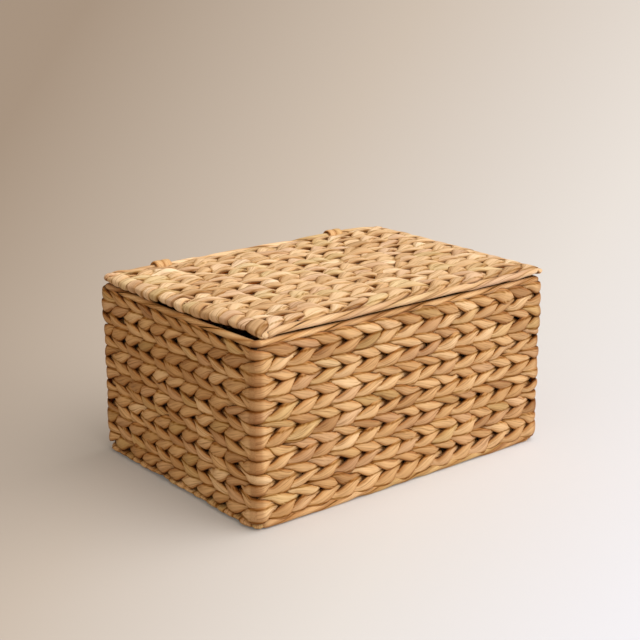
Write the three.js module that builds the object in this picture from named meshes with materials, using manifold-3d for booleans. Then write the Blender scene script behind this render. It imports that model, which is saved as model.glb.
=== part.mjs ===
// A lidded storage box hand-woven from flattened plant stalks over a welded wire frame.
// Twined courses run round the upright wires, looped rows fill the base and the lid,
// and two strand ties at the back carry the lid, which turns on its own back edge wire.
// Millimetres. +X runs along the box, +Y to the hinge side, +Z up, origin under the middle.
import * as THREE from "three";
import { mergeVertices } from "three/addons/utils/BufferGeometryUtils.js";
import Module from "manifold-3d";

const wasm = await Module();
wasm.setup();

// Overall sizes
const BOX_LENGTH = 400;
const BOX_DEPTH = 286;
const RIM_HEIGHT = 194;

// Welded wire frame
const FRAME_WIRE = 4;
const STAKE_WIRE = 2.5;
const WIRE_CORNER = 5;
const LONG_BAY_COUNT = 14;
const SHORT_BAY_COUNT = 10;

// Woven walls
const WALL_THICKNESS = 13;
const COURSE_COUNT = 14;
const COURSE_ROUNDING = 2.4;

// Woven base and lid
const BASE_THICKNESS = 9;
const LID_THICKNESS = 12;
const LID_ROW_ROUNDING = 3;
const LID_ROW_CREST = 5;
const LOOP_COUNT = 9;
const ROWS_PER_LOOP = 2;
const EDGE_BINDING_RADIUS = 5;
const BASE_EDGE_ROUNDING = 1.6;

// Rim binding, a strip wound over the top edge wire
const RIM_BINDING_STRIP = 2.2;
const RIM_BINDING_HEIGHT = 6.5;
const RIM_BINDING_CHAMFER = 2;

// Hinge ties
const TIE_BAY = 3;
const TIE_WIDTH = 20;
const TIE_STRAND = 3.5;

// Clearances
const SEAT_GAP = 0.3;
const LID_GAP = 0.5;
const HINGE_GAP = 0.4;

// Facets
const CORNER_STEPS = 3;
const FRAME_WIRE_SIDES = 6;
const STAKE_SIDES = 6;
const EDGE_BINDING_STEPS = 10;
const TIE_STEPS = 8;
const LEAST_CORNER = 0.5;

// Places that follow from the sizes
const midX = (BOX_LENGTH - WALL_THICKNESS) / 2;
const midY = (BOX_DEPTH - WALL_THICKNESS) / 2;
const baseWireZ = BASE_THICKNESS / 2;
const rimWireZ = RIM_HEIGHT - RIM_BINDING_STRIP - FRAME_WIRE / 2;
const rimBindingFoot = RIM_HEIGHT - RIM_BINDING_HEIGHT;
const wireSlot = FRAME_WIRE / 2 + SEAT_GAP;
const panelEdge = midY - EDGE_BINDING_RADIUS - SEAT_GAP;
const longPitch = (2 * midX) / LONG_BAY_COUNT;
const shortPitch = (2 * panelEdge) / SHORT_BAY_COUNT;
const coursePitch = (rimBindingFoot - BASE_THICKNESS - SEAT_GAP) / COURSE_COUNT;
const lidWireZ = RIM_HEIGHT + LID_GAP + LID_THICKNESS / 2;
const tieInner = EDGE_BINDING_RADIUS + HINGE_GAP;
const tieOuter = tieInner + TIE_STRAND;
const tieFoot = rimBindingFoot - SEAT_GAP - TIE_STRAND;
const tieX = midX - (TIE_BAY - 0.5) * longPitch;
const beyond = BOX_LENGTH + BOX_DEPTH + RIM_HEIGHT;

// Materials
const wovenWall = new THREE.MeshStandardMaterial({ color: 0xb98a55, roughness: 0.85, metalness: 0 });
const wovenLid = new THREE.MeshStandardMaterial({ color: 0xcca06a, roughness: 0.85, metalness: 0 });
const boundEdge = new THREE.MeshStandardMaterial({ color: 0xc2955e, roughness: 0.8, metalness: 0 });
const darkWire = new THREE.MeshStandardMaterial({ color: 0x2e2622, roughness: 0.6, metalness: 0.6 });

// Closed solids from geometries and back, for joins and cuts.

function solidFrom(geometry) {
  const bare = geometry.clone();
  bare.deleteAttribute("normal");
  bare.deleteAttribute("uv");
  const merged = mergeVertices(bare, 1e-4);
  return new wasm.Manifold(
    new wasm.Mesh({
      numProp: 3,
      vertProperties: merged.attributes.position.array,
      triVerts: new Uint32Array(merged.index.array),
    }),
  );
}

function geometryFrom(solid) {
  const mesh = solid.getMesh();
  const geometry = new THREE.BufferGeometry();
  geometry.setAttribute("position", new THREE.BufferAttribute(mesh.vertProperties, 3));
  geometry.setIndex(new THREE.BufferAttribute(mesh.triVerts, 1));
  geometry.computeVertexNormals();
  return geometry;
}

function joined(geometries) {
  return geometryFrom(geometries.map(solidFrom).reduce((whole, piece) => whole.add(piece)));
}

function cut(geometry, cutters) {
  const whole = solidFrom(geometry);
  return geometryFrom(cutters.map(solidFrom).reduce((rest, cutter) => rest.subtract(cutter), whole));
}

function common(geometry, keeper) {
  return geometryFrom(solidFrom(geometry).intersect(solidFrom(keeper)));
}

// Basic shapes

function block(low, high) {
  const size = new THREE.Vector3().subVectors(high, low);
  const middle = new THREE.Vector3().addVectors(low, high).multiplyScalar(0.5);
  return new THREE.BoxGeometry(size.x, size.y, size.z).translate(middle.x, middle.y, middle.z);
}

function straightWire(start, end, diameter, sides) {
  const along = new THREE.Vector3().subVectors(end, start);
  const middle = new THREE.Vector3().addVectors(start, end).multiplyScalar(0.5);
  const turn = new THREE.Quaternion().setFromUnitVectors(
    new THREE.Vector3(0, 1, 0),
    along.clone().normalize(),
  );
  return new THREE.CylinderGeometry(diameter / 2, diameter / 2, along.length(), sides)
    .applyQuaternion(turn)
    .translate(middle.x, middle.y, middle.z);
}

// Points of a rounded rectangle, anticlockwise, with the same number of points for any radius.
function roundedOutline(halfX, halfY, radius) {
  const points = [];
  const corners = [
    [1, 1],
    [-1, 1],
    [-1, -1],
    [1, -1],
  ];
  corners.forEach(([signX, signY], quarter) => {
    for (let step = 0; step <= CORNER_STEPS; step++) {
      const angle = ((quarter + step / CORNER_STEPS) * Math.PI) / 2;
      points.push([
        signX * (halfX - radius) + radius * Math.cos(angle),
        signY * (halfY - radius) + radius * Math.sin(angle),
      ]);
    }
  });
  return points;
}

// A closed band round the box: a section of [outward offset, height] points, anticlockwise,
// carried round the middle line of the walls.
function band(section, middleZ) {
  const loops = section.map(([offset]) =>
    roundedOutline(midX + offset, midY + offset, Math.max(WIRE_CORNER + offset, LEAST_CORNER)),
  );
  const around = loops[0].length;
  const positions = [];
  section.forEach(([, height], row) => {
    loops[row].forEach(([x, y]) => positions.push(x, y, middleZ + height));
  });
  const faces = [];
  for (let row = 0; row < section.length; row++) {
    const nextRow = (row + 1) % section.length;
    for (let step = 0; step < around; step++) {
      const nextStep = (step + 1) % around;
      const a = row * around + step;
      const b = row * around + nextStep;
      const c = nextRow * around + nextStep;
      const d = nextRow * around + step;
      faces.push(a, b, c, a, c, d);
    }
  }
  const geometry = new THREE.BufferGeometry();
  geometry.setAttribute("position", new THREE.Float32BufferAttribute(positions, 3));
  geometry.setIndex(faces);
  return geometry;
}

function circleSection(radius, sides) {
  return Array.from({ length: sides }, (_, side) => {
    const angle = ((side + 0.5) / sides) * 2 * Math.PI;
    return [radius * Math.cos(angle), radius * Math.sin(angle)];
  });
}

// Welded wire frames

function wireRing(z) {
  return band(circleSection(FRAME_WIRE / 2, FRAME_WIRE_SIDES), z);
}

// Places of the wires between bays, from one end of a side to the other.
function stakePlaces(bays, pitch) {
  return Array.from({ length: bays - 1 }, (_, bay) => (bay + 1 - bays / 2) * pitch);
}

const longStakes = stakePlaces(LONG_BAY_COUNT, longPitch);
const shortStakes = stakePlaces(SHORT_BAY_COUNT, shortPitch);
const postInset = WIRE_CORNER * (1 - Math.SQRT1_2);
const cornerPosts = [
  [1, 1],
  [-1, 1],
  [-1, -1],
  [1, -1],
].map(([signX, signY]) => [signX * (midX - postInset), signY * (midY - postInset)]);

function uprightWire(x, y, diameter, sides) {
  const foot = new THREE.Vector3(x, y, baseWireZ);
  const head = new THREE.Vector3(x, y, rimWireZ);
  return straightWire(foot, head, diameter, sides);
}

function crossWires(z) {
  return longStakes.map((x) => {
    const front = new THREE.Vector3(x, -midY, z);
    const back = new THREE.Vector3(x, midY, z);
    return straightWire(front, back, STAKE_WIRE, STAKE_SIDES);
  });
}

function basketWireFrame() {
  const posts = cornerPosts.map(([x, y]) => uprightWire(x, y, FRAME_WIRE, FRAME_WIRE_SIDES));
  const stakes = [];
  for (const side of [-1, 1]) {
    longStakes.forEach((x) => stakes.push(uprightWire(x, side * midY, STAKE_WIRE, STAKE_SIDES)));
    shortStakes.forEach((y) => stakes.push(uprightWire(side * midX, y, STAKE_WIRE, STAKE_SIDES)));
  }
  const rings = [wireRing(baseWireZ), wireRing(rimWireZ)];
  return joined([...rings, ...posts, ...stakes, ...crossWires(baseWireZ)]);
}

function lidWireFrame() {
  return joined([wireRing(lidWireZ), ...crossWires(lidWireZ)]);
}

// Woven walls: each course is a pair of strands twined round the uprights, drawn here as one
// band that is fullest at mid-height, with a slot along each side for the row of uprights.

function uprightSlots(low, high) {
  const reach = STAKE_WIRE / 2 + SEAT_GAP;
  const lastX = longStakes[longStakes.length - 1] + reach;
  const lastY = shortStakes[shortStakes.length - 1] + reach;
  const slots = [];
  for (const side of [-1, 1]) {
    const y = side * midY;
    const x = side * midX;
    const longLow = new THREE.Vector3(-lastX, y - reach, low);
    const longHigh = new THREE.Vector3(lastX, y + reach, high);
    const shortLow = new THREE.Vector3(x - reach, -lastY, low);
    const shortHigh = new THREE.Vector3(x + reach, lastY, high);
    slots.push(block(longLow, longHigh), block(shortLow, shortHigh));
  }
  const posts = cornerPosts.map(([x, y]) => {
    const foot = new THREE.Vector3(x, y, low);
    const head = new THREE.Vector3(x, y, high);
    return straightWire(foot, head, 2 * wireSlot, FRAME_WIRE_SIDES);
  });
  return [...slots, ...posts];
}

// Space that the two ties need through the top of the highest course.
function tieNotches() {
  return [-1, 1].map((side) => {
    const half = TIE_WIDTH / 2 + SEAT_GAP;
    const low = new THREE.Vector3(side * tieX - half, midY - WALL_THICKNESS, tieFoot - SEAT_GAP);
    const high = new THREE.Vector3(side * tieX + half, midY + WALL_THICKNESS, RIM_HEIGHT);
    return block(low, high);
  });
}

function wallCourse(number) {
  const half = WALL_THICKNESS / 2;
  const drawn = half - COURSE_ROUNDING;
  const rise = (coursePitch - SEAT_GAP) / 2;
  const middle = BASE_THICKNESS + SEAT_GAP + (number - 0.5) * coursePitch;
  const section = [
    [half, 0],
    [drawn, rise],
    [-drawn, rise],
    [-half, 0],
    [-drawn, -rise],
    [drawn, -rise],
  ];
  const openings = uprightSlots(middle - coursePitch, middle + coursePitch);
  const notches = number === COURSE_COUNT ? tieNotches() : [];
  return cut(band(section, middle), [...openings, ...notches]);
}

// Woven base and lid: each loop of strand passes over the cross wires, round one end wire,
// back under the cross wires and round the other end wire.

function loopPath(path, radius) {
  path.moveTo(-midX, -radius);
  path.lineTo(midX, -radius);
  path.absarc(midX, 0, radius, -Math.PI / 2, Math.PI / 2, false);
  path.lineTo(-midX, radius);
  path.absarc(-midX, 0, radius, Math.PI / 2, (3 * Math.PI) / 2, false);
  return path;
}

const loopPitch = (2 * panelEdge) / LOOP_COUNT;
const loopWidth = loopPitch - SEAT_GAP;

// Where a loop begins along Y.
function loopStart(number) {
  return (number - 0.5) * loopPitch - panelEdge - loopWidth / 2;
}

function flatLoop(outline, width, start, wireZ) {
  const options = { depth: width, bevelEnabled: false, curveSegments: CORNER_STEPS };
  return new THREE.ExtrudeGeometry(outline, options)
    .rotateX(Math.PI / 2)
    .translate(0, start + width, wireZ);
}

function baseLoopBlank(number) {
  const outline = loopPath(new THREE.Shape(), BASE_THICKNESS / 2);
  outline.holes.push(loopPath(new THREE.Path(), wireSlot));
  return flatLoop(outline, loopWidth, loopStart(number), baseWireZ);
}

// Points of a loop's outline in X and Z, with the same number of points for any radius.
function loopOutline(radius) {
  const points = [];
  for (const side of [1, -1]) {
    for (let step = 0; step <= 2 * CORNER_STEPS; step++) {
      const angle = (step / CORNER_STEPS - 1) * (Math.PI / 2);
      points.push([side * (midX + radius * Math.cos(angle)), side * radius * Math.sin(angle)]);
    }
  }
  return points;
}

// Places across a lid loop and its radius there: full over each row, drawn in beside and between rows.
function lidLoopStations() {
  const full = LID_THICKNESS / 2;
  const drawn = full - LID_ROW_ROUNDING;
  const rowWidth = loopWidth / ROWS_PER_LOOP;
  const stations = [[0, drawn]];
  for (let row = 0; row < ROWS_PER_LOOP; row++) {
    const middle = (row + 0.5) * rowWidth;
    stations.push([middle - LID_ROW_CREST / 2, full], [middle + LID_ROW_CREST / 2, full]);
    stations.push([(row + 1) * rowWidth, drawn]);
  }
  return stations;
}

// A lid loop is a braid of two rows, each with a level crest.
function lidLoop(number) {
  const stations = lidLoopStations();
  const rings = stations.map(([, radius]) => loopOutline(radius));
  const around = rings[0].length;
  const start = loopStart(number);
  const positions = [];
  rings.forEach((ring, place) => {
    const y = start + stations[place][0];
    ring.forEach(([x, z]) => positions.push(x, y, lidWireZ + z));
  });
  const faces = [];
  for (let place = 0; place + 1 < rings.length; place++) {
    for (let step = 0; step < around; step++) {
      const a = place * around + step;
      const b = place * around + ((step + 1) % around);
      faces.push(a, a + around, b + around, a, b + around, b);
    }
  }
  const last = (rings.length - 1) * around;
  for (let step = 1; step + 1 < around; step++) {
    faces.push(0, step, step + 1, last, last + step + 1, last + step);
  }
  const full = new THREE.BufferGeometry();
  full.setAttribute("position", new THREE.Float32BufferAttribute(positions, 3));
  full.setIndex(faces);
  const slot = loopPath(new THREE.Shape(), wireSlot);
  return cut(full, [flatLoop(slot, 3 * loopWidth, start - loopWidth, lidWireZ)]);
}

// A base loop is pierced at its ends by the uprights that stand on the end wires.
function baseLoop(number) {
  const holes = [];
  for (const x of [-midX, midX]) {
    for (const y of shortStakes) {
      const foot = new THREE.Vector3(x, y, baseWireZ);
      const head = new THREE.Vector3(x, y, baseWireZ + BASE_THICKNESS);
      holes.push(straightWire(foot, head, STAKE_WIRE + 2 * SEAT_GAP, STAKE_SIDES));
    }
  }
  return cut(baseLoopBlank(number), holes);
}

// The loop next to the hinge stands back from the two ties.
function hingeSideLoop() {
  const half = TIE_WIDTH / 2 + HINGE_GAP;
  const notches = [-1, 1].map((side) =>
    block(
      new THREE.Vector3(side * tieX - half, midY - tieOuter - HINGE_GAP, lidWireZ - LID_THICKNESS),
      new THREE.Vector3(side * tieX + half, midY, lidWireZ + LID_THICKNESS),
    ),
  );
  return cut(lidLoop(LOOP_COUNT), notches);
}

// Edge bindings

// Keeps the front or back run of a band, with its two corners.
function edgeRun(geometry, side) {
  const near = side * panelEdge + side * SEAT_GAP;
  const far = side * beyond;
  const low = new THREE.Vector3(-beyond, Math.min(near, far), -beyond);
  const high = new THREE.Vector3(beyond, Math.max(near, far), beyond);
  return common(geometry, block(low, high));
}

// A base edge strand cradles the wire from below and outside, clear of the wires welded to it.
function baseBinding(side) {
  const reach = WALL_THICKNESS / 2;
  const rise = BASE_THICKNESS / 2;
  const corner = BASE_EDGE_ROUNDING;
  const section = [
    [wireSlot, rise],
    [wireSlot, -wireSlot],
    [-EDGE_BINDING_RADIUS, -wireSlot],
    [-EDGE_BINDING_RADIUS, -rise],
    [reach - corner, -rise],
    [reach, corner - rise],
    [reach, rise - corner],
    [reach - corner, rise],
  ];
  return edgeRun(band(section, baseWireZ), side);
}

// A lid edge strand is round about the wire and open inwards for the cross wires.
function lidBinding(side) {
  const mouth = Math.asin(wireSlot / EDGE_BINDING_RADIUS);
  const sweep = 2 * (Math.PI - mouth);
  const section = Array.from({ length: EDGE_BINDING_STEPS + 1 }, (_, step) => {
    const angle = mouth - Math.PI + (sweep * step) / EDGE_BINDING_STEPS;
    return [EDGE_BINDING_RADIUS * Math.cos(angle), EDGE_BINDING_RADIUS * Math.sin(angle)];
  });
  section.push([wireSlot, wireSlot], [wireSlot, -wireSlot]);
  return edgeRun(band(section, lidWireZ), side);
}

// The rim strip caps the top wire and is open below, where the uprights are welded on.
function rimBinding() {
  const reach = wireSlot + RIM_BINDING_STRIP - SEAT_GAP;
  const top = RIM_HEIGHT - rimWireZ;
  const foot = rimBindingFoot - rimWireZ;
  const section = [
    [reach, foot],
    [reach, top - RIM_BINDING_CHAMFER],
    [reach - RIM_BINDING_CHAMFER, top],
    [RIM_BINDING_CHAMFER - reach, top],
    [-reach, top - RIM_BINDING_CHAMFER],
    [-reach, foot],
    [-wireSlot, foot],
    [-wireSlot, FRAME_WIRE / 2 + SEAT_GAP / 2],
    [wireSlot, FRAME_WIRE / 2 + SEAT_GAP / 2],
    [wireSlot, foot],
  ];
  return band(section, rimWireZ);
}

// Hinge ties: a strand wound round the rim and the lid's back edge, which turns inside it.

function tiePath(path, halfWidth, foot) {
  path.moveTo(-halfWidth, foot);
  path.lineTo(halfWidth, foot);
  path.lineTo(halfWidth, lidWireZ);
  path.absarc(0, lidWireZ, halfWidth, 0, Math.PI, false);
  path.lineTo(-halfWidth, foot);
  return path;
}

function hingeTie(side) {
  const outline = tiePath(new THREE.Shape(), tieOuter, tieFoot);
  outline.holes.push(tiePath(new THREE.Path(), tieInner, tieFoot + TIE_STRAND));
  const options = { depth: TIE_WIDTH, bevelEnabled: false, curveSegments: TIE_STEPS };
  return new THREE.ExtrudeGeometry(outline, options)
    .rotateX(Math.PI / 2)
    .rotateZ(Math.PI / 2)
    .translate(side * tieX - TIE_WIDTH / 2, midY, 0);
}

// Assembly

function piece(name, geometry, material) {
  const mesh = new THREE.Mesh(geometry, material);
  mesh.name = name;
  return mesh;
}

function numbered(name, number) {
  return `${name}_${String(number).padStart(2, "0")}`;
}

function basket() {
  const group = new THREE.Group();
  group.add(piece("basket_wire_frame", basketWireFrame(), darkWire));
  for (let number = 1; number <= COURSE_COUNT; number++) {
    group.add(piece(numbered("wall_course", number), wallCourse(number), wovenWall));
  }
  for (let number = 1; number <= LOOP_COUNT; number++) {
    group.add(piece(numbered("base_loop", number), baseLoop(number), wovenWall));
  }
  group.add(piece("base_front_binding", baseBinding(-1), boundEdge));
  group.add(piece("base_back_binding", baseBinding(1), boundEdge));
  group.add(piece("rim_binding", rimBinding(), boundEdge));
  group.add(piece("hinge_tie_left", hingeTie(-1), boundEdge));
  group.add(piece("hinge_tie_right", hingeTie(1), boundEdge));
  return group;
}

function lid() {
  const group = new THREE.Group();
  group.add(piece("lid_wire_frame", lidWireFrame(), darkWire));
  for (let number = 1; number < LOOP_COUNT; number++) {
    group.add(piece(numbered("lid_loop", number), lidLoop(number), wovenLid));
  }
  group.add(piece(numbered("lid_loop", LOOP_COUNT), hingeSideLoop(), wovenLid));
  group.add(piece("lid_front_binding", lidBinding(-1), boundEdge));
  group.add(piece("lid_back_binding", lidBinding(1), boundEdge));
  return group;
}

const box = new THREE.Group();
box.name = "woven_lidded_box";
box.add(basket(), lid());

export default box;
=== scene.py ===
"""Looks of the woven lidded box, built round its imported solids.

Every woven solid is replaced by the strands that it stands in for: pairs of flattened stalks twined round
the wires, strips wound over the edges and the ties that carry the lid. Lengths are in millimetres until a
mesh is made.
"""

import math

import bpy
import numpy as np
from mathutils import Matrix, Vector


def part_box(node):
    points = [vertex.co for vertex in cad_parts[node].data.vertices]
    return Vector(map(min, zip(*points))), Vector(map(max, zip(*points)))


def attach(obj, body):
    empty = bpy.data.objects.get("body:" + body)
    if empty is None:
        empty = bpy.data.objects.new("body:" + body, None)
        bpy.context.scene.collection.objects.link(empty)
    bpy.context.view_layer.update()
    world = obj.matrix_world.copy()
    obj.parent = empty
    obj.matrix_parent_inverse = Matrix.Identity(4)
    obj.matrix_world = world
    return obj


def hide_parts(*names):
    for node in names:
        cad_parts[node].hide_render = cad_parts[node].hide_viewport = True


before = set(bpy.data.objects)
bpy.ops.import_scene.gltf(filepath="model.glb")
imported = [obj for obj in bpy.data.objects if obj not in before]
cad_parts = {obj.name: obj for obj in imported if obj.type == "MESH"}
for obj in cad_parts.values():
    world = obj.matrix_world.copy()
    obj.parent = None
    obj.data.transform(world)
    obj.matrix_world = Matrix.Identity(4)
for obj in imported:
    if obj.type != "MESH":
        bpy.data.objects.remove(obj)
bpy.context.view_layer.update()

MM = 0.001
SEED = 2246

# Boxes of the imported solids
lid_wire_low, lid_wire_high = (np.array(c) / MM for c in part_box("lid_wire_frame"))
course_low, course_high = (np.array(c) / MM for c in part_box("wall_course_01"))
tie_low, tie_high = (np.array(c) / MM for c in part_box("hinge_tie_right"))
_, rim_high = (np.array(c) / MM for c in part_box("rim_binding"))

# The walls' thickness and middle lines, the heights of the rim and of the panels' wires, a tie's place
WALL = 13.0
MID_X = (course_high[0] - course_low[0] - WALL) / 2
MID_Y = (course_high[1] - course_low[1] - WALL) / 2
RIM_TOP = rim_high[2]
LID_Z = (lid_wire_low[2] + lid_wire_high[2]) / 2
BASE_Z = 4.5
TIE_X = (tie_low[0] + tie_high[0]) / 2

# Bays between the wires, and braids of two rows in the walls and in a panel
LONG_BAYS = 14
SHORT_BAYS = 10
BRAIDS = 7
PANEL_BRAIDS = 9

# Bend of the walls' middle line at a corner, where the panels' rows end, and the pitches
CORNER = 3.4
PANEL_EDGE = MID_Y - 5.3
LONG_PITCH = 2 * MID_X / LONG_BAYS
SHORT_PITCH = 2 * PANEL_EDGE / SHORT_BAYS
PANEL_PITCH = 2 * PANEL_EDGE / PANEL_BRAIDS

# Points along a bay and round a strand
STEPS = 16
AROUND = 24

# Shape of a woven strand, in shares of its row's half depth and half height
STAND = 0.60  # how far its middle stands out over a wire
SINK = 0.22  # how far it sinks behind one
RISE = 0.65  # power of its way from behind to over
SHIFT = 0.62  # how far it runs up or down between wires
BROAD = 1.24  # half width of its outer face over a wire
NARROW = 0.74  # half width of its outer face between wires
TIP = -0.2  # how that width changes behind a wire
BELLY = 1.1  # power that narrows the face between wires
THICK = 0.46  # half thickness
SLIM = 0.45  # share of the thickness that doesn't follow the width
ROLL = 0.2  # turn about its own line
LAY = 0.10  # how unevenly it spends its length
ZIGZAG = 0.93  # how straight it runs between wires
DOME = 0.75  # power that rounds its section

# Spread of the hand work along a woven strand
PHASE_SPREAD = 0.06
STAND_SPREAD = 0.06
WIDTH_SPREAD = 0.09
THICK_SPREAD = 0.08
ROLL_SPREAD = 0.06
SHIFT_SPREAD = 0.06

# Painted shade in the creases, in the same shares: its reach where a strand meets the other one and the next
# row, how dark it is, where the other strand's side fades out, and the depths between which a face goes from
# full painted shade to fully lit
CREASE = 0.14
ROW_CREASE = 0.15
CREASE_DARK = 0.88
SIDE_FADE = (1.0, 1.15)
HIDDEN = -0.3
EXPOSED = 0.35

# A wound edge strand, in shares of its half sizes: its strips' crest, back, core, half width and spread, the
# heights across which a strip goes from painted shade to lit where it sinks into the strand, and how much of
# the painted shade on its flanks shows
WOUND_CREST = 0.95
WOUND_BACK = 0.03
WOUND_CORE = 0.05
WOUND_WIDE = 0.97
WOUND_SPREAD = 0.05
WOUND_LIGHT = (-0.2, 0.3)
WOUND_FLANK = 0.75

# Spread of the stalks' tones, and where along a turn one stalk's tone gives way to the next
TONE_SPREAD = 0.23
TONE_CHANGE = (0.38, 0.62)

# Width of strip that holds one unit of grain, the slant of that grain, and the strands' places in the grain
GRAIN = 6.5
GRAIN_SLANT = (0.4, 0.25)
GRAIN_FIELD = 50


def generator(*key):
    return np.random.default_rng([SEED, *key])


def smooth(low, high, value):
    t = np.clip((value - low) / (high - low), 0.0, 1.0)
    return t * t * (3 - 2 * t)


def pointing(count, axis, amount=1.0):
    """Vectors along one axis."""
    vectors = np.zeros((count, 3))
    vectors[:, axis] = amount
    return vectors


# Meshes


def add_mesh(name, parts, material, body, node):
    """One piece in place of a node, from parts of (rings, closed, fibre, tone, edge). rings are N x M x 3."""
    points, faces, fibre, tone, edge = [], [], [], [], []
    start = 0
    for rings, closed, part_fibre, part_tone, part_edge in parts:
        count, around, _ = rings.shape
        index = start + np.arange(count * around).reshape(count, around)
        turned = np.roll(index, -1, axis=1)
        if closed:
            following, following_turned = np.roll(index, -1, axis=0), np.roll(turned, -1, axis=0)
        else:
            following, following_turned = index[1:], turned[1:]
            index, turned = index[:-1], turned[:-1]
        quads = np.stack([index, turned, following_turned, following], axis=-1).reshape(-1, 4)
        faces.extend(quads.tolist())
        if not closed:
            faces.append(list(range(start + around - 1, start - 1, -1)))
            last = start + (count - 1) * around
            faces.append(list(range(last, last + around)))
        points.append(rings.reshape(-1, 3))
        fibre.append(part_fibre.reshape(-1, 3))
        tone.append(part_tone.reshape(-1, 4))
        edge.append(part_edge.ravel())
        start += count * around
    mesh = bpy.data.meshes.new(name)
    mesh.from_pydata((np.concatenate(points) * MM).tolist(), [], faces)
    vector = mesh.attributes.new("fibre", "FLOAT_VECTOR", "POINT")
    vector.data.foreach_set("vector", np.concatenate(fibre).astype(np.float32).ravel())
    # tone holds the stalk's tone, tint, painted light and corner brown
    colour = mesh.attributes.new("tone", "FLOAT_COLOR", "POINT")
    colour.data.foreach_set("color", np.concatenate(tone).astype(np.float32).ravel())
    share = mesh.attributes.new("edge", "FLOAT", "POINT")
    share.data.foreach_set("value", np.concatenate(edge).astype(np.float32))
    mesh.polygons.foreach_set("use_smooth", [True] * len(mesh.polygons))
    mesh.materials.append(material)
    piece = bpy.data.objects.new(name, mesh)
    bpy.context.scene.collection.objects.link(piece)
    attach(piece, body)
    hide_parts(node)


def tones(rng, turns, painted_light_share, corner_brown, period=None):
    """Per-vertex tone, tint, painted light (1 lit, 0 in painted shade) and corner brown of a strand that
    shows a new stalk each turn.
    """
    place = turns / 2
    low = np.floor(place).astype(int)
    part = smooth(*TONE_CHANGE, place - low)
    count = period // 2 if period else low.max() + 2
    tone = np.clip(rng.normal(0.5, TONE_SPREAD, count), 0, 1)
    tint = rng.random(count)
    low, high = low % count, (low + 1) % count
    around = painted_light_share.shape[1]
    return np.stack(
        [
            np.repeat((tone[low] * (1 - part) + tone[high] * part)[:, None], around, axis=1),
            np.repeat((tint[low] * (1 - part) + tint[high] * part)[:, None], around, axis=1),
            painted_light_share,
            np.repeat(corner_brown[:, None], around, axis=1),
        ],
        axis=-1,
    )


def wander(rng, turns, amount, period=None):
    """Smooth random values along a strand, with a new one at each unit of turns."""
    place = turns - turns.min()
    knots = rng.normal(0.0, amount, int(place.max()) + 3)
    low = np.floor(place).astype(int)
    high = low + 1
    part = smooth(0.0, 1.0, place - low)
    if period:
        low, high = low % period, high % period
    return knots[low] * (1 - part) + knots[high] * part


def strand_part(rng, axis, out, up, off_out, off_up, across, painted_light_share, turns, corner_brown, period, sense):
    """A strand from its offsets off a row's axis. The offsets, across and depth are N x AROUND."""
    rings = axis[:, None, :] + off_out[..., None] * out[:, None, :] + off_up[..., None] * up[:, None, :]
    if sense > 0:
        rings, painted_light_share, across = rings[:, ::-1], painted_light_share[:, ::-1], across[:, ::-1]
    fibre = np.stack(
        [
            np.repeat(turns[:, None], AROUND, axis=1) * LONG_PITCH * MM,
            across,
            np.full_like(across, rng.random() * GRAIN_FIELD),
        ],
        axis=-1,
    )
    return rings, period is not None, fibre, tones(rng, turns, painted_light_share, corner_brown, period), np.abs(across)


def facing_width(c, narrow):
    """Half width of a strand's face from its pass over a wire, c = 1, to its pass behind one, c = -1."""
    return np.where(c > 0, narrow + (BROAD - narrow) * np.abs(c) ** BELLY, narrow * (1 + TIP * c))


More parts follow.
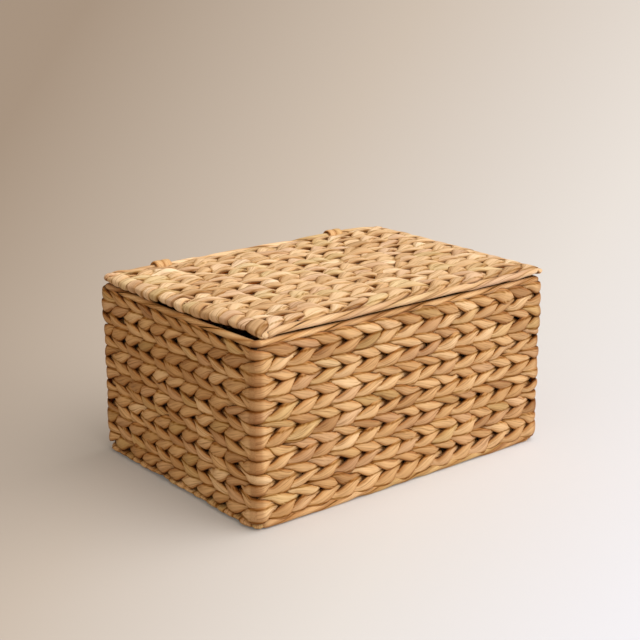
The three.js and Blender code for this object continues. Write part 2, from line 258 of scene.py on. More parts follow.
def woven_pair(
    rng, axis, out, up, turns, sense, half_out, half_up, corner_brown, loose, period=None, narrow=NARROW
):
    """Two strands twined round wires: each passes outside every second wire and inside the others.

    axis, out and up are N x 3. turns counts wires along the row. loose scales how uneven the hand work is.
    Each face of a strand is an almond, broad over a wire and drawn to a tip where it dives.
    """
    angle = np.arange(AROUND) * 2 * np.pi / AROUND
    across = np.repeat(np.sin(angle)[None, :], len(turns), axis=0)
    crest = (np.sign(np.cos(angle)) * np.abs(np.cos(angle)) ** DOME)[None, :]
    outer = crest > -1e-6
    facing = np.where(outer, 1.0, -1.0)
    courses = []
    for strand in (0, 1):
        lay = turns - LAY * np.sin(2 * np.pi * turns) / (2 * np.pi)
        phase = np.pi * (lay + strand + wander(rng, turns, PHASE_SPREAD * loose, period))
        c, s = np.cos(phase), np.sin(phase)
        swell = 1 + wander(rng, turns, STAND_SPREAD * loose, period)
        stand = ((-SINK + (STAND + SINK) * ((1 + c) / 2) ** RISE) * swell)[:, None]
        uneven = (1 + wander(rng, turns, WIDTH_SPREAD * loose, period))[:, None]
        wide = np.where(outer, facing_width(c, narrow)[:, None], facing_width(-c, narrow)[:, None]) * uneven
        full = (1 + wander(rng, turns, THICK_SPREAD * loose, period))[:, None]
        bulge = THICK * full * (SLIM + (1 - SLIM) * wide / BROAD)
        thick = bulge * crest
        roll = (ROLL * s * c + wander(rng, turns, ROLL_SPREAD * loose, period))[:, None]
        run = np.arcsin(ZIGZAG * s) / math.asin(ZIGZAG)
        shift = (SHIFT * run + wander(rng, turns, SHIFT_SPREAD * loose, period))[:, None]
        flat = wide * across
        off_out = stand + thick * np.cos(roll) - flat * np.sin(roll)
        off_up = shift + thick * np.sin(roll) + flat * np.cos(roll)
        courses.append((off_out, off_up, stand, shift, wide, bulge))
    parts = []
    for strand, (off_out, off_up, *_) in enumerate(courses):
        _, _, other_stand, other_shift, other_wide, other_bulge = courses[1 - strand]
        # Painted shade: dark creases where a face meets the other strand or the next row, and darker faces
        # deeper in the row
        share = np.abs(off_up - other_shift) / other_wide
        other_face = facing * other_stand + other_bulge * np.maximum(1 - share * share, 0) ** (DOME / 2)
        over = facing * off_out - other_face
        meeting = np.exp(-((over / CREASE) ** 2)) * (1 - smooth(*SIDE_FADE, share))
        row_edge = np.exp(-(((np.abs(off_up) - 1) / ROW_CREASE) ** 2))
        crease = CREASE_DARK * np.maximum(meeting, row_edge)
        painted_light_share = smooth(HIDDEN, EXPOSED, facing * off_out) * (1 - crease)
        off_out, off_up = off_out * half_out[:, None], sense * off_up * half_up[:, None]
        parts.append(
            strand_part(
                rng, axis, out, up, off_out, off_up, across, painted_light_share, turns + strand, corner_brown, period, sense
            )
        )
    return parts


def wound_pair(rng, axis, out, up, turns, half_out, half_up, corner_brown, period=None):
    """Two flat strips wound tight into one smooth edge strand."""
    angle = np.arange(AROUND) * 2 * np.pi / AROUND
    across = np.repeat(np.sin(angle)[None, :], len(turns), axis=0)
    dome = np.where(np.cos(angle) > 0, WOUND_CREST * np.cos(angle), WOUND_BACK * np.cos(angle))[None, :]
    parts = []
    for strand in (0, 1):
        phase = np.pi * (turns + strand + wander(rng, turns, WOUND_SPREAD, period))[:, None]
        rho = WOUND_CORE + dome * (1 + wander(rng, turns, WOUND_SPREAD, period))[:, None]
        off_out = rho * np.cos(phase) - WOUND_WIDE * across * np.sin(phase)
        off_up = rho * np.sin(phase) + WOUND_WIDE * across * np.cos(phase)
        # Painted shade where a strip sinks into the strand
        painted_light_share = smooth(*WOUND_LIGHT, rho)
        off_out, off_up = off_out * half_out[:, None], off_up * half_up[:, None]
        # Share of painted shade towards the flanks
        painted_flank_shade = across * WOUND_FLANK
        parts.append(
            strand_part(rng, axis, out, up, off_out, off_up, painted_flank_shade, painted_light_share, turns + strand, corner_brown, period, 1)
        )
    return parts


# Strips: flat strands along a free path

# Shares of painted light on the broad side and of painted shade behind it, how much of the painted shade on
# the flanks shows, and the power that makes a section round
STRIP_LIGHT = 0.9
STRIP_SHADE = 0.25
STRIP_FLANK = 0.8
ROUND = 1.0


def flat_section(power):
    """Unit points of a flattened oval: first across the thickness, then across the width."""
    angle = np.arange(AROUND) * 2 * np.pi / AROUND
    c, s = np.cos(angle), np.sin(angle)
    return np.sign(c) * np.abs(c) ** power, np.sign(s) * np.abs(s) ** power


def strip(rng, path, face, half_width, half_thick, power, tone_middle=0.5, spread=0.12, closed=False):
    """A flattened strand whose broad side faces along face. path and face are N x 3."""
    count = len(path)
    step = np.gradient(path, axis=0)
    if closed:
        step = np.roll(path, -1, axis=0) - np.roll(path, 1, axis=0)
    step = step / np.linalg.norm(step, axis=1)[:, None]
    face = face - (face * step).sum(1)[:, None] * step
    face = face / np.linalg.norm(face, axis=1)[:, None]
    side = np.cross(step, face)
    across, along = flat_section(power)
    half_width = np.broadcast_to(half_width, count)
    half_thick = np.broadcast_to(half_thick, count)
    rings = (
        path[:, None, :]
        + (half_thick[:, None] * across[None, :])[..., None] * face[:, None, :]
        + (half_width[:, None] * along[None, :])[..., None] * side[:, None, :]
    )
    length = np.concatenate([[0], np.cumsum(np.linalg.norm(np.diff(path, axis=0), axis=1))])
    fibre = np.stack(
        [
            np.repeat(length[:, None], AROUND, axis=1) * MM,
            (half_width[:, None] * along[None, :] + rng.normal(*GRAIN_SLANT) * length[:, None]) / GRAIN,
            np.full((count, AROUND), rng.random() * GRAIN_FIELD),
        ],
        axis=-1,
    )
    tone = np.zeros((count, AROUND, 4))
    tone[..., 0] = np.clip(tone_middle + rng.normal(0, spread), 0, 1)
    tone[..., 1] = rng.random()
    # Painted light on the broad side and painted shade behind it, then painted shade on the flanks
    tone[..., 2] = np.clip(STRIP_LIGHT + STRIP_SHADE * np.minimum(across, 0)[None, :], 0, 1)
    edge = np.repeat(STRIP_FLANK * np.abs(along)[None, :], count, axis=0)
    return rings, closed, fibre, tone, edge


# Walls

STRAIGHT_X = 2 * (MID_X - CORNER)
STRAIGHT_Y = 2 * (MID_Y - CORNER)
BEND = CORNER * math.pi / 2

# Foot and top of the braids, the upper row's share of a braid, how full and loose the rows are, how far their
# middles stray
BRAID_LOW = 9.4
BRAID_HIGH = 188.0
UPPER_SHARE = 0.46
WALL_FULL = 1.15
WALL_LOOSE = 1.5
WALL_STRAY = 0.35

# Reach of the brown crease at a corner post, and how strong it is from row to row
CORNER_BROWN_REACH = 3.4
CORNER_BROWN_RANGE = (0.25, 1.0)

# How far the left wall's top edge hangs, the top row gives way below the ties, and the lowest row settles;
# half the width that a tie takes up
RIM_SAG = 1.4
TIE_PRESS = 4.2
BASE_SETTLE = 3.2
TIE_HALF = 10.5


def around_walls(s):
    """Places on the walls' middle line and their outward directions, from the front left corner on."""
    total = 2 * (STRAIGHT_X + STRAIGHT_Y) + 4 * BEND
    s = np.mod(s + BEND / 2, total)
    place = np.zeros((len(s), 3))
    out = np.zeros((len(s), 3))
    sides = [
        (-MID_X + CORNER, -MID_Y + CORNER, STRAIGHT_X, 1.0, 0.0),
        (MID_X - CORNER, -MID_Y + CORNER, STRAIGHT_Y, 0.0, 1.0),
        (MID_X - CORNER, MID_Y - CORNER, STRAIGHT_X, -1.0, 0.0),
        (-MID_X + CORNER, MID_Y - CORNER, STRAIGHT_Y, 0.0, -1.0),
    ]
    start = 0.0
    for quarter, (cx, cy, straight, dx, dy) in enumerate(sides):
        bend = (s >= start) & (s < start + BEND)
        angle = math.pi + quarter * math.pi / 2 + (s[bend] - start) / CORNER
        out[bend, 0], out[bend, 1] = np.cos(angle), np.sin(angle)
        place[bend, 0] = cx + CORNER * np.cos(angle)
        place[bend, 1] = cy + CORNER * np.sin(angle)
        run = (s >= start + BEND) & (s < start + BEND + straight)
        gone = s[run] - start - BEND
        out[run, 0], out[run, 1] = dy, -dx
        place[run, 0] = cx + dy * CORNER + dx * gone
        place[run, 1] = cy - dx * CORNER + dy * gone
        start += BEND + straight
    return place, out


def wall_wires():
    """Where the uprights stand along the walls' middle line, the corner posts among them, and its length."""
    longs = (np.arange(1, LONG_BAYS) - LONG_BAYS / 2) * LONG_PITCH + STRAIGHT_X / 2
    shorts = (np.arange(1, SHORT_BAYS) - SHORT_BAYS / 2) * SHORT_PITCH + STRAIGHT_Y / 2
    wires = []
    start = 0.0
    for places, straight in ((longs, STRAIGHT_X), (shorts, STRAIGHT_Y)) * 2:
        wires.append(start)
        wires.extend(start + BEND / 2 + places)
        start += BEND + straight
    return np.array(wires), start


def corner_brown_share(place):
    """Share of brown tint near each corner post, where the stalks bend round it."""
    near = np.hypot(np.abs(place[:, 0]) - MID_X, np.abs(place[:, 1]) - MID_Y)
    return np.exp(-((near / CORNER_BROWN_REACH) ** 4))


def bow(y):
    """1 halfway along an end wall, 0 at its corners."""
    return np.clip(1 - (y / MID_Y) ** 2, 0, 1)


def sag(points):
    """The left wall's top edge hangs a little between its corners."""
    hang = smooth(-150, -190, points[..., 0]) * bow(points[..., 1]) * smooth(140, RIM_TOP, points[..., 2])
    points[..., 2] -= RIM_SAG * hang


def tie_gap(x, reach):
    """1 beside a hinge tie, 0 away from it."""
    gap = np.abs(np.abs(x) - TIE_X)
    return 1 - smooth(TIE_HALF, TIE_HALF + reach, gap)


def press_below_ties(points):
    """The top row gives way below the ties."""
    press = tie_gap(points[..., 0], 14) * (points[..., 1] > 0)
    points[..., 2] -= TIE_PRESS * press * smooth(170, BRAID_HIGH, points[..., 2])


def settle_on_base(points):
    """The lowest row settles over the base's front strand, more so to the right."""
    settle = smooth(-150, 20, points[..., 0]) * smooth(-60, -120, points[..., 1])
    points[..., 2] -= BASE_SETTLE * settle * smooth(22, 9, points[..., 2])


def wall_rows(material):
    wires, total = wall_wires()
    count = len(wires)
    turns = np.arange(count * STEPS) / STEPS
    length = np.interp(turns, np.arange(count + 1), np.append(wires, total))
    place, out = around_walls(length)
    up = pointing(len(place), 2)
    corner_brown = corner_brown_share(place)
    braid = (BRAID_HIGH - BRAID_LOW) / BRAIDS
    half_out = np.full(len(turns), WALL / 2 * WALL_FULL)
    for number in range(2 * BRAIDS):
        rng = generator(1, number)
        level, lower = divmod(number, 2)
        top = BRAID_HIGH - level * braid
        if lower:
            middle, height, sense = top - braid * (1 + UPPER_SHARE) / 2, braid * (1 - UPPER_SHARE), 1
        else:
            middle, height, sense = top - braid * UPPER_SHARE / 2, braid * UPPER_SHARE, -1
        axis = place.copy()
        axis[:, 2] = middle + wander(rng, turns, WALL_STRAY, count)
        half_up = np.full(len(turns), height / 2)
        brown = corner_brown * rng.uniform(*CORNER_BROWN_RANGE)
        parts = woven_pair(
            rng, axis, out, up, turns, sense, half_out, half_up, brown, WALL_LOOSE, period=count
        )
        for rings, *_ in parts:
            sag(rings)
            if number == 0:
                press_below_ties(rings)
            if number == 2 * BRAIDS - 1:
                settle_on_base(rings)
        order = 2 * BRAIDS - number
        add_mesh(
            f"twined_course_{order:02d}", parts, material, "basket", f"wall_course_{order:02d}"
        )


# Panels: the base and the lid, rows along X over the cross wires

# In bays, where a row starts to fold over its end wire, where it is folded under and where it ends; then the
# fold's steps, how far it stays inside the walls' middle line, and how much it narrows and flattens
FOLD_FIRST = 0.25
FOLD_UNDER = 0.35
FOLD_LAST = 0.70
FOLD_STEPS = 30
FOLD_INSET = 0.5
FOLD_NARROW = 0.3
FOLD_FLATTEN = 0.10

# How full and loose the rows are, how far their middles stray, and their faces' half width between wires
PANEL_FULL = 1.15
PANEL_LOOSE = 2.1
PANEL_STRAY = 0.4
PANEL_NARROW = 0.92

# The lid's warp: the share by which its right end thins and its left end deepens; how far its right end and
# its front left corner stand to the right; how far its left front rises and the corner drops; how far its
# back gives way to the ties, and the share by which its rows lie lower there
LID_THIN = 0.5
LID_DEEP = 0.3
LID_RIGHT = 5.0
LID_CORNER_IN = 9.0
LID_LIFT = 0.6
LID_CORNER_DROP = 3.2
LID_CROWD = 5.2
LID_LOW = 0.4

# Least height over the floor
FLOOR_GAP = 0.05


def panel_rows(key, name, body, material, z, half_thick, crown, brink, shape):
    """Rows of a flat panel whose ends fold over the end wires.

    crown scales how far the rows stand up, brink how far their folded ends reach past the end wires, and
    shape bends finished points.
    """
    fold = np.linspace(-FOLD_LAST, FOLD_FIRST, FOLD_STEPS)[:-1]
    plain = np.arange(int(FOLD_FIRST * STEPS), int((LONG_BAYS - FOLD_FIRST) * STEPS) + 1) / STEPS
    turns = np.concatenate([fold, plain, LONG_BAYS - fold[::-1]])
    count = len(turns)
    reach = MID_X - FOLD_INSET
    past = np.maximum(-turns, turns - LONG_BAYS)
    x = np.clip((turns - LONG_BAYS / 2) * LONG_PITCH, -reach, reach)
    x -= np.sign(x) * np.maximum(past - FOLD_UNDER, 0) * LONG_PITCH
    bend = np.pi * np.clip((past + FOLD_FIRST) / (FOLD_FIRST + FOLD_UNDER), 0, 1)
    out = pointing(count, 2, np.cos(bend))
    out[:, 0] = np.sign(x) * brink * np.sin(bend)
    up = pointing(count, 1)
    half_up = PANEL_PITCH / 4 * PANEL_FULL * (1 - FOLD_NARROW * smooth(0.05, FOLD_LAST, past))
    half_out = half_thick * (1 - FOLD_FLATTEN * smooth(-0.3, 0.0, past))
    corner_brown = np.zeros(count)
    for number in range(1, PANEL_BRAIDS + 1):
        rng = generator(key, number)
        parts = []
        low = -PANEL_EDGE + (number - 1) * PANEL_PITCH
        for half, sense in ((0, 1), (1, -1)):
            axis = pointing(count, 0, x)
            axis[:, 1] = low + PANEL_PITCH * (0.25 + 0.5 * half) + wander(rng, turns, PANEL_STRAY)
            axis[:, 2] = z
            parts += woven_pair(
                rng, axis, out, up, turns, sense, half_out, half_up, corner_brown, PANEL_LOOSE, narrow=PANEL_NARROW
            )
        for rings, *_ in parts:
            height = rings[..., 2] - z
            rings[..., 2] = z + height * np.where(height > 0, crown, 1.0)
            shape(rings)
        add_mesh(f"{name}_rows_{number:02d}", parts, material, body, f"{name}_loop_{number:02d}")


def lid_bend(points):
    """The lid's own shape: its left end hangs lower, its front left corner stands in, its right end thins."""
    x, y, z = (points[..., axis].copy() for axis in range(3))
    thin = 1 - LID_THIN * smooth(160, 200, x)
    deep = 1 + LID_DEEP * smooth(-150, -192, x) * bow(y)
    points[..., 2] = LID_Z + (z - LID_Z) * np.where(z > LID_Z, thin, deep)
    points[..., 0] += LID_RIGHT * smooth(110, 200, x)
    points[..., 0] += LID_CORNER_IN * smooth(60, -143, y) * smooth(-110, -200, x)
    points[..., 2] += LID_LIFT * smooth(90, -120, y) * smooth(-60, -165, x)
    points[..., 2] -= LID_CORNER_DROP * smooth(-118, -143, y) * smooth(-172, -200, x)
    crowd = tie_gap(x, 12) * smooth(92, 128, y) * (y < 131.9)
    points[..., 1] -= LID_CROWD * crowd


def lid_row_bend(points):
    """The lid's rows lie lower beside the hinge, so that the opened lid clears the rim."""
    height = np.maximum(points[..., 2] - LID_Z, 0)
    points[..., 2] -= LID_LOW * height * smooth(116, 129, points[..., 1])
    lid_bend(points)


def keep_off_floor(points):
    points[..., 2] = np.maximum(points[..., 2], FLOOR_GAP)


# Edges

# The rim's strand: points, half sizes, depth below the rim's top, turns, how far it strays, over what length,
# and after how many strays they repeat
RIM_POINTS = 660
RIM_HALF_OUT = 4.6
RIM_HALF_UP = 3.5
RIM_DEPTH = 3.4
RIM_TURNS = 24
RIM_STRAY = 0.15
RIM_STRAY_LENGTH = 40
RIM_STRAY_COUNT = 30

# Straight edge strands: points, how far their ends turn in and taper, how far they stray and over what length
EDGE_POINTS = 260
EDGE_CURL = 7
EDGE_TAPER = 0.6
EDGE_STRAY = 0.5
EDGE_STRAY_LENGTH = 16

# Lumps that wrap a panel's corner: (lean, turn from Y) of each, place of their middle, half width, reach and
# rise past the edge strand, far and near end of the tails, and share of the height that is strand
WRAPS = ((-2.0, 0.45), (0.0, 0.8), (2.0, 1.15))
WRAP_INSET = 4.2
WRAP_HALF_WIDTH = 3.4
WRAP_REACH = 4.6
WRAP_RISE = 0.1
WRAP_TAIL = 13
WRAP_TAIL_NEAR = 2.5
WRAP_FAT = 0.4

# A tie: reach off the hinge line, foot below the rim, radius there, offset and sway of its two turns, and
# the strip's half width, half thickness and power of its section
TIE_REACH = 7.1
TIE_FOOT = 185.6
TIE_CURVE = 2.4
TIE_OFFSET = 4.9
TIE_SWAY = 0.7
TIE_STRIP = (5.0, 1.5, 0.65)

# The lid's wires: corner, radii of the ring and the cross wires, how far these end inside the walls' middle
# line, and steps along the ring
WIRE_CORNER = 5.0
RING_RADIUS = 2.0
CROSS_RADIUS = 1.25
CROSS_INSET = 1.9
RING_STEP = 9


def wrap(rng, middle, way, radius, height, lean):
    """One lump bent round an edge: out of the panel's upper face, round its rim and back in below."""
    fat = height * WRAP_FAT
    turn, climb = radius - fat, height - fat
    angle = np.linspace(-0.5 * np.pi, 0.5 * np.pi, 11)
    tail = np.linspace(WRAP_TAIL, WRAP_TAIL_NEAR, 6)
    level = np.full(len(tail), climb * 0.95)
    reach = np.concatenate([-tail, turn * np.cos(angle), -tail[::-1]])
    rise = np.concatenate([-level, climb * np.sin(angle), level])
    gone = smooth(4, WRAP_TAIL, -reach)
    below = smooth(0.0, 1.0, -rise / climb)
    rise -= np.sign(rise) * gone * climb * 1.3
    way = np.array([way[0], way[1], 0.0])
    beside = np.array([-way[1], way[0], 0.0])
    sway = np.linspace(-1, 1, len(reach)) * lean
    path = middle + reach[:, None] * way + sway[:, None] * beside
    path[:, 2] += rise
    face = np.maximum(reach, 0)[:, None] * way
    face[:, 2] = rise
    slim = 1 - 0.5 * gone - 0.3 * below * (1 - gone)
    half_width, half_thick = WRAP_HALF_WIDTH * slim, fat * (1 - 0.5 * gone)
    return strip(rng, path, face, half_width, half_thick, ROUND, tone_middle=0.55, spread=0.16)


def rim_edge(material):
    rng = generator(7)
    _, total = wall_wires()
    length = np.linspace(0, total, RIM_POINTS, endpoint=False)
    place, out = around_walls(length)
    stray = wander(rng, length / RIM_STRAY_LENGTH, RIM_STRAY, RIM_STRAY_COUNT)
    place[:, 2] = RIM_TOP - RIM_DEPTH + stray
    up = pointing(RIM_POINTS, 2)
    turns = length / total * RIM_TURNS
    half_out, half_up = np.full(RIM_POINTS, RIM_HALF_OUT), np.full(RIM_POINTS, RIM_HALF_UP)
    parts = wound_pair(rng, place, out, up, turns, half_out, half_up, corner_brown_share(place), RIM_TURNS)
    for rings, *_ in parts:
        sag(rings)
    add_mesh("rim_edge_strands", parts, material, "basket", "rim_binding")


def straight_edge(rng, y, z, half_out, half_up, lay, reach):
    """An edge strand along X whose ends turn in round the corners, under the wraps of each corner."""
    x = np.linspace(-reach, reach, EDGE_POINTS)
    axis = pointing(EDGE_POINTS, 0, x)
    axis[:, 1] = y - np.sign(y) * EDGE_CURL * smooth(reach - 14, reach, np.abs(x)) ** 2
    axis[:, 2] = z + wander(rng, x / EDGE_STRAY_LENGTH, EDGE_STRAY)
    out = pointing(EDGE_POINTS, 1, np.sign(y))
    up = pointing(EDGE_POINTS, 2)
    taper = 1 - EDGE_TAPER * smooth(reach - 9, reach, np.abs(x))
    turns = (x + reach) / lay
    corner_brown = np.zeros(EDGE_POINTS)
    parts = wound_pair(rng, axis, out, up, turns, half_out * taper, half_up * taper, corner_brown)
    for side in (-1, 1):
        middle = np.array([side * (MID_X - WRAP_INSET), np.sign(y) * (MID_Y - WRAP_INSET), z])
        for lean, spin in WRAPS:
            way = (side * math.sin(spin), np.sign(y) * math.cos(spin))
            parts.append(wrap(rng, middle, way, half_out + WRAP_REACH, half_up + WRAP_RISE, lean))
    return parts


def base_edges(material):
    for side, name in ((-1, "front"), (1, "back")):
        rng = generator(8, side + 1)
        parts = straight_edge(
            rng, side * (MID_Y + 1.8), BASE_Z - 0.3, half_out=4.4, half_up=4.1, lay=58.0, reach=MID_X + 2.0
        )
        for rings, *_ in parts:
            keep_off_floor(rings)
        add_mesh(f"base_{name}_strand", parts, material, "basket", f"base_{name}_binding")


def lid_edges(material):
    for side, name, drop, half_up in ((-1, "front", 0.9, 3.7), (1, "back", 0.0, 4.9)):
        rng = generator(9, side + 1)
        parts = straight_edge(
            rng, side * MID_Y, LID_Z - drop, half_out=4.9, half_up=half_up, lay=64.0, reach=MID_X + 1.5
        )
        for rings, *_ in parts:
            lid_bend(rings)
        add_mesh(f"lid_{name}_strand", parts, material, "lid", f"lid_{name}_binding")


def tie_loop():
    """One turn of a tie, over the lid's edge and below the rim: distance off the hinge line, and height."""
    over = np.linspace(0, np.pi, 15)
    below = np.linspace(np.pi, 2 * np.pi, 11)
    high, low = LID_Z - 2, TIE_FOOT + 3
    fall, rise = np.linspace(high, low, 6), np.linspace(low, high, 6)
    side = np.full(len(fall), TIE_REACH)
    return np.concatenate(
        [
            np.stack([TIE_REACH * np.cos(over), LID_Z + TIE_REACH * np.sin(over)], axis=1),
            np.stack([-side, fall], axis=1),
            np.stack([TIE_REACH * np.cos(below), TIE_FOOT + TIE_CURVE + TIE_CURVE * np.sin(below)], axis=1),
            np.stack([side, rise], axis=1),
        ]
    )


def hinge_ties(material):
    loop = tie_loop()
    inside = np.stack([np.zeros(len(loop)), np.minimum(loop[:, 1], LID_Z)], axis=1)
    inside[loop[:, 1] < TIE_FOOT + TIE_CURVE, 1] = TIE_FOOT + TIE_CURVE
    sway = np.sin(np.linspace(0, 2 * np.pi, len(loop))) * TIE_SWAY
    for side, name in ((-1, "left"), (1, "right")):
        rng = generator(10, side + 1)
        parts = []
        for turn in (-1, 1):
            path = pointing(len(loop), 0, side * TIE_X + turn * TIE_OFFSET + sway)
            path[:, 1] = MID_Y + loop[:, 0]
            path[:, 2] = loop[:, 1]
            face = np.zeros_like(path)
            face[:, 1:] = loop - inside
            parts.append(strip(rng, path, face, *TIE_STRIP, spread=0.15, closed=True))
        add_mesh(f"hinge_tie_strands_{name}", parts, material, "basket", f"hinge_tie_{name}")


def bent_lid_wires(material):
    """The lid's wire frame with the lid's own warp."""
    rng = generator(11)
    angle = np.linspace(0, np.pi / 2, 5)
    ring = []
    for quarter, (sx, sy) in enumerate(((1, 1), (-1, 1), (-1, -1), (1, -1))):
        turned = angle + quarter * np.pi / 2
        corner = pointing(len(angle), 2, LID_Z)
        corner[:, 0] = sx * (MID_X - WIRE_CORNER) + WIRE_CORNER * np.cos(turned)
        corner[:, 1] = sy * (MID_Y - WIRE_CORNER) + WIRE_CORNER * np.sin(turned)
        ring.append(corner)
    outline = np.concatenate(ring)
    dense = []
    for a, b in zip(outline, np.roll(outline, -1, axis=0)):
        count = max(1, int(np.linalg.norm(b - a) / RING_STEP))
        dense.append(a + (b - a) * (np.arange(count) / count)[:, None])
    path = np.concatenate(dense)
    parts = [strip(rng, path, pointing(len(path), 2), RING_RADIUS, RING_RADIUS, ROUND, closed=True)]
    y = np.linspace(-MID_Y + CROSS_INSET, MID_Y - CROSS_INSET, 24)
    for number in range(1, LONG_BAYS):
        path = pointing(len(y), 1, y)
        path[:, 0] = (number - LONG_BAYS / 2) * LONG_PITCH
        path[:, 2] = LID_Z
        parts.append(strip(rng, path, pointing(len(y), 2), CROSS_RADIUS, CROSS_RADIUS, ROUND))
    for rings, *_ in parts:
        lid_bend(rings)
    add_mesh("lid_bent_wires", parts, material, "lid", "lid_wire_frame")


# Materials

# Share of a stalk's own tone in its colour
OWN_TONE = 0.62


class Nodes:
    """Short calls for a material's node tree."""

    def __init__(self, name):
        self.material = bpy.data.materials.new(name)
        self.material.use_nodes = True
        self.tree = self.material.node_tree
        self.shader = self.tree.nodes["Principled BSDF"]

    def add(self, kind, **settings):
        node = self.tree.nodes.new(kind)
        for key, value in settings.items():
            setattr(node, key, value)
        return node

    def link(self, source, target):
        self.tree.links.new(source, target)

    def maths(self, operation, first, second):
        node = self.add("ShaderNodeMath", operation=operation)
        for socket, value in zip(node.inputs, (first, second)):
            if isinstance(value, (int, float)):
                socket.default_value = value
            else:
                self.link(value, socket)
        return node.outputs[0]

    def ramp(self, value, stops):
        node = self.add("ShaderNodeValToRGB")
        elements = node.color_ramp.elements
        while len(elements) < len(stops):
            elements.new(0.5)
        for element, (place, colour) in zip(elements, stops):
            element.position = place
            element.color = (*colour, 1)
        self.link(value, node.inputs[0])
        return node.outputs[0]

    def mix(self, amount, first, second, blend="MIX"):
        node = self.add("ShaderNodeMix", data_type="RGBA", blend_type=blend)
        for socket, value in ((node.inputs[0], amount), (node.inputs[6], first), (node.inputs[7], second)):
            if isinstance(value, (int, float)):
                socket.default_value = value
            elif isinstance(value, tuple):
                socket.default_value = (*value, 1)
            else:
                self.link(value, socket)
        return node.outputs[2]

    def stretched_noise(self, vector, scale, detail):
        mapping = self.add("ShaderNodeMapping")
        mapping.inputs["Scale"].default_value = scale
        self.link(vector, mapping.inputs["Vector"])
        noise = self.add("ShaderNodeTexNoise")
        noise.inputs["Scale"].default_value = 1.0
        noise.inputs["Detail"].default_value = detail
        noise.inputs["Roughness"].default_value = 0.6
        self.link(mapping.outputs[0], noise.inputs["Vector"])
        return noise.outputs["Fac"]


def stalk_material(name, brightness, warmth, outline=1.0, vary=OWN_TONE):
    """Dry flattened stalk: a tone for each strand, fine fibres along it, and painted shade, dark brown in the
    folds and creases and darker on the flanks and edges, scaled by outline.
    """
    n = Nodes(name)
    fibre = n.add("ShaderNodeAttribute", attribute_name="fibre").outputs["Vector"]
    tone_node = n.add("ShaderNodeAttribute", attribute_name="tone")
    split = n.add("ShaderNodeSeparateColor")
    n.link(tone_node.outputs["Color"], split.inputs[0])
    tone, tint, painted_light_level = split.outputs
    corner_brown = tone_node.outputs["Alpha"]

    fine = n.stretched_noise(fibre, (26, 5.5, 1), 4.0)
    broad = n.stretched_noise(fibre, (22, 1.1, 1), 2.0)
    own = n.maths("ADD", n.maths("MULTIPLY", tone, vary), (OWN_TONE - vary) / 2)
    shade = n.maths("ADD", own, n.maths("MULTIPLY", broad, 0.4))
    b = brightness
    colour = n.ramp(
        shade,
        [
            (0.12, (0.36 * b, 0.185 * b, 0.072 * b)),
            (0.38, (0.53 * b, 0.30 * b, 0.125 * b)),
            (0.62, (0.66 * b, 0.412 * b, 0.198 * b)),
            (0.9, (0.79 * b, 0.56 * b, 0.325 * b)),
        ],
    )
    pink = n.ramp(tint, [(0.80, (0, 0, 0)), (0.95, (1, 1, 1))])
    colour = n.mix(n.maths("MULTIPLY", pink, 0.45), colour, (0.52 * b, 0.30 * b, 0.17 * b))
    olive = n.ramp(tint, [(0.06, (1, 1, 1)), (0.16, (0, 0, 0))])
    colour = n.mix(n.maths("MULTIPLY", olive, 0.4), colour, (0.47 * b, 0.33 * b, 0.12 * b))
    lines = n.ramp(
        fine, [(0.33, (0.46, 0.32, 0.18)), (0.46, (0.93, 0.91, 0.87)), (0.62, (1.06, 1.06, 1.06))]
    )
    colour = n.mix(0.8, colour, lines, "MULTIPLY")
    colour = n.mix(corner_brown, colour, (0.56, 0.42, 0.30), "MULTIPLY")
    off_middle = n.add("ShaderNodeAttribute", attribute_name="edge").outputs["Fac"]
    # Painted shade: lighter in the middle of each strand and darker on its flanks
    painted_flank_shade = n.ramp(off_middle, [(0.35, (1.05, 1.05, 1.06)), (0.9, (0.68, 0.49, 0.27))])
    colour = n.mix(outline, colour, painted_flank_shade, "MULTIPLY")
    # Painted shade: a dark outline along each strand's edges
    rim = n.ramp(off_middle, [(0.87, (0, 0, 0)), (0.97, (1, 1, 1))])
    colour = n.mix(n.maths("MULTIPLY", rim, 0.95 * outline), colour, (0.11, 0.038, 0.006))
    # Painted shade: dark brown where a face sinks into the weave and in the creases where strands meet
    fold = n.ramp(painted_light_level, [(0.0, (1, 1, 1)), (0.88, (0, 0, 0))])
    brown = n.ramp(painted_light_level, [(0.0, (0.45, 0.115, 0.010)), (0.07, (0.115, 0.036, 0.004))])
    colour = n.mix(n.maths("MULTIPLY", fold, 0.35 + 0.62 * outline), colour, brown)
    # Painted shade also turns redder where a face is deeper or creased
    painted_shade_red = n.ramp(
        painted_light_level, [(0.0, (1.0, 0.80, 0.35)), (0.5, (1.0, 0.92, 0.66)), (0.9, (1.0, 1.0, 1.0))]
    )
    colour = n.mix(outline, colour, painted_shade_red, "MULTIPLY")
    colour = n.mix(1.0, colour, warmth, "MULTIPLY")
    n.link(colour, n.shader.inputs["Base Color"])

    rough = n.add("ShaderNodeMapRange")
    rough.inputs["To Min"].default_value = 0.52
    rough.inputs["To Max"].default_value = 0.80
    n.link(fine, rough.inputs["Value"])
    n.link(rough.outputs[0], n.shader.inputs["Roughness"])
    # Painted shade also dims the specular where a face is deep or creased
    n.link(n.maths("MULTIPLY", painted_light_level, 0.3), n.shader.inputs["Specular IOR Level"])

    ridges = n.stretched_noise(fibre, (16, 4.6, 1), 3.0)
    bump = n.add("ShaderNodeBump")
    bump.inputs["Strength"].default_value = 0.55
    bump.inputs["Distance"].default_value = 0.9 * MM
    n.link(n.maths("ADD", ridges, n.maths("MULTIPLY", fine, 0.5)), bump.inputs["Height"])
    n.link(bump.outputs[0], n.shader.inputs["Normal"])
    return n.material


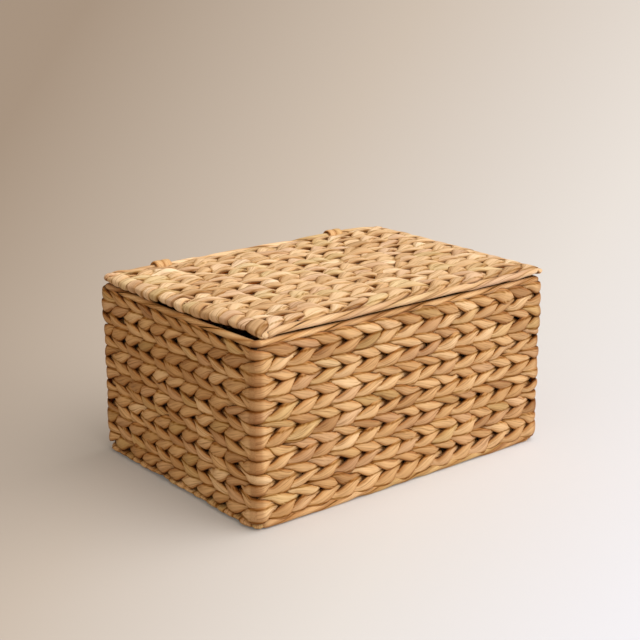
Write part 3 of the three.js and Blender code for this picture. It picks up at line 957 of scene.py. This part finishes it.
def wire_material():
    n = Nodes("dark_coated_wire")
    place = n.add("ShaderNodeTexCoord").outputs["Object"]
    noise = n.stretched_noise(place, (220, 220, 220), 3.0)
    colour = n.ramp(noise, [(0.35, (0.018, 0.013, 0.010)), (0.7, (0.05, 0.035, 0.026))])
    n.link(colour, n.shader.inputs["Base Color"])
    n.shader.inputs["Metallic"].default_value = 0.4
    n.shader.inputs["Roughness"].default_value = 0.55
    return n.material


# Stage: pale floor, soft light, camera

# The camera, fitted to the photo: target, azimuth and elevation in degrees, distance in metres, focal length
# and picture width in pixels, and sensor width
TARGET = (97.19, 127.42, 99.85)
AZIMUTH = -38.825
ELEVATION = 16.552
DISTANCE = 1.67013
FOCAL_PIXELS = 1350.36
PICTURE_PIXELS = 640
SENSOR = 36.0

# Half the floor's side in metres, the slope of its painted light to the right and up in the picture, half the
# span of that slope, and the floor's painted glow
FLOOR_HALF = 30.0
FLOOR_SLOPE = (0.108, -0.072)
FLOOR_SPAN = 0.04266
FLOOR_GLOW = 0.08


def look_from(azimuth, elevation):
    a, e = math.radians(azimuth), math.radians(elevation)
    return Vector((math.sin(a) * math.cos(e), -math.cos(a) * math.cos(e), math.sin(e)))


def add_sun(name, energy, angle, colour, direction):
    """A soft sun that shines from direction. angle is its width in degrees."""
    lamp = bpy.data.objects.new(name, bpy.data.lights.new(name, "SUN"))
    lamp.data.energy = energy
    lamp.data.angle = math.radians(angle)
    lamp.data.color = colour
    lamp.rotation_euler = (-Vector(direction)).to_track_quat("-Z", "Y").to_euler()
    bpy.context.scene.collection.objects.link(lamp)


def floor_material(eye, back):
    """A pale floor whose colour runs from taupe at the far left to near white at the near right: painted
    light and shade, shaded at the left and lit at the right.
    """
    n = Nodes("pale_floor")
    right = Vector((0, 0, 1)).cross(back).normalized()
    above = back.cross(right)
    place = n.add("ShaderNodeTexCoord").outputs["Object"]
    offset = n.add("ShaderNodeVectorMath", operation="SUBTRACT")
    offset.inputs[1].default_value = eye
    n.link(place, offset.inputs[0])
    along = n.add("ShaderNodeVectorMath", operation="DOT_PRODUCT")
    along.inputs[1].default_value = right * FLOOR_SLOPE[0] + above * FLOOR_SLOPE[1]
    n.link(offset.outputs[0], along.inputs[0])
    reach = n.add("ShaderNodeVectorMath", operation="LENGTH")
    n.link(offset.outputs[0], reach.inputs[0])
    share = n.maths("DIVIDE", along.outputs["Value"], reach.outputs["Value"])
    place_in_ramp = n.add("ShaderNodeMapRange")
    place_in_ramp.inputs["From Min"].default_value = -FLOOR_SPAN
    place_in_ramp.inputs["From Max"].default_value = FLOOR_SPAN
    n.link(share, place_in_ramp.inputs["Value"])
    # Painted light: the floor's colour carries the fall of light across the picture
    colour = n.ramp(
        place_in_ramp.outputs[0],
        [
            (0.1, (0.26, 0.19, 0.135)),
            (0.4, (0.455, 0.395, 0.35)),
            (0.7, (0.62, 0.605, 0.62)),
            (1.0, (0.70, 0.73, 0.85)),
        ],
    )
    n.link(colour, n.shader.inputs["Base Color"])
    n.shader.inputs["Roughness"].default_value = 0.9
    n.shader.inputs["Specular IOR Level"].default_value = 0.0
    # Painted light: a faint bluish glow, seen only by camera, glossy and transmission rays, that lifts the
    # floor's shadow
    n.shader.inputs["Emission Color"].default_value = (0.85, 0.97, 1.0, 1)
    rays = n.add("ShaderNodeLightPath").outputs
    seen = n.maths("ADD", rays["Is Camera Ray"], rays["Is Glossy Ray"])
    seen = n.maths("MINIMUM", n.maths("ADD", seen, rays["Is Transmission Ray"]), 1.0)
    n.link(n.maths("MULTIPLY", seen, FLOOR_GLOW), n.shader.inputs["Emission Strength"])
    return n.material


def stage():
    scene = bpy.context.scene
    back = look_from(AZIMUTH, ELEVATION)
    camera = bpy.data.objects.new("camera", bpy.data.cameras.new("camera"))
    camera.location = Vector(TARGET) * MM + back * DISTANCE
    camera.rotation_euler = (-back).to_track_quat("-Z", "Y").to_euler()
    camera.data.sensor_width = SENSOR
    camera.data.lens = FOCAL_PIXELS * SENSOR / PICTURE_PIXELS
    scene.collection.objects.link(camera)
    scene.camera = camera

    floor_mesh = bpy.data.meshes.new("floor")
    corners = [(x * FLOOR_HALF, y * FLOOR_HALF, 0) for x, y in ((-1, -1), (1, -1), (1, 1), (-1, 1))]
    floor_mesh.from_pydata(corners, [], [(0, 1, 2, 3)])
    floor = bpy.data.objects.new("floor", floor_mesh)
    scene.collection.objects.link(floor)
    floor_mesh.materials.append(floor_material(camera.location, back))

    add_sun("key", 3.3, 80, (1.0, 0.985, 0.955), (0.40, -0.50, 0.77))
    add_sun("fill", 0.34, 70, (1.0, 0.84, 0.60), (-0.75, -0.35, 0.56))
    world = bpy.data.worlds.new("studio")
    scene.world = world
    world.use_nodes = True
    sky = world.node_tree.nodes["Background"]
    sky.inputs["Color"].default_value = (1.0, 0.805, 0.56, 1)
    sky.inputs["Strength"].default_value = 0.37
    scene.view_settings.view_transform = "Standard"


wall_stalk = stalk_material("wall_stalk", 1.08, (1.0, 1.02, 1.06))
# A brighter and paler copy of the stalk for the lid: its extra brightness is painted light on the lid's top,
# and outline thins its painted shade
lit_lid_stalk = stalk_material("lit_lid_stalk", 1.28, (1.0, 1.17, 1.56), outline=0.65, vary=0.44)
edge_stalk = stalk_material("edge_stalk", 1.08, (1.0, 1.03, 1.08))
dark_wire = wire_material()

basket_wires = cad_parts["basket_wire_frame"]
basket_wires.data.materials.clear()
basket_wires.data.materials.append(dark_wire)

wall_rows(wall_stalk)
panel_rows(
    2, "base", "basket", wall_stalk,
    z=BASE_Z, half_thick=4.2, crown=1.0, brink=1.9, shape=keep_off_floor,
)
panel_rows(
    3, "lid", "lid", lit_lid_stalk,
    z=LID_Z, half_thick=5.6, crown=1.2, brink=1.15, shape=lid_row_bend,
)
rim_edge(edge_stalk)
base_edges(edge_stalk)
lid_edges(lit_lid_stalk)
hinge_ties(edge_stalk)
bent_lid_wires(dark_wire)
stage()
